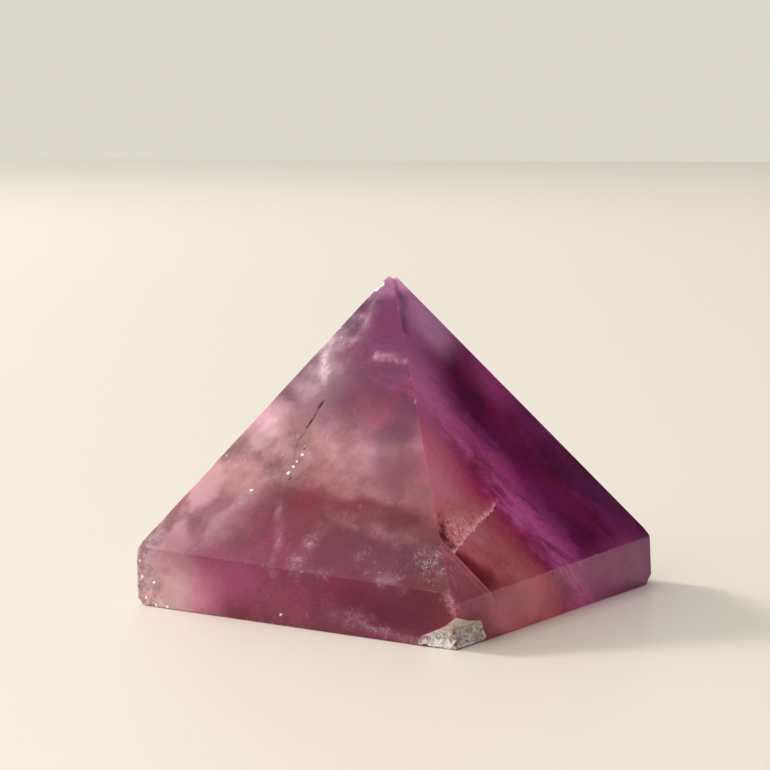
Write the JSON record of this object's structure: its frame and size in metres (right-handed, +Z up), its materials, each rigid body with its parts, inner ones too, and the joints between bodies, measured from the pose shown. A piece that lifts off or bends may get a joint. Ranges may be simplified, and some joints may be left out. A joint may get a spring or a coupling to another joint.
{
  "type": "fluorite pyramid",
  "caption": "Hand-cut, polished purple fluorite pyramid on a low plinth, with a broken front corner, worn edges and cloudy veils inside. It stands on its flat base.",
  "frame": {"origin": "middle of the square base, at the surface that the stone stands on", "axes": "+Z up to the apex; the base's sides run along X and Y, and the broken corner is at +X, -Y"},
  "size_m": [0.05, 0.05, 0.0422],
  "materials": {
    "fluorite": "polished, cloudy purple and rose with clear zones"
  },
  "bodies": {
    "root": {"fluorite_pyramid": "fluorite"}
  },
  "joints": []
}
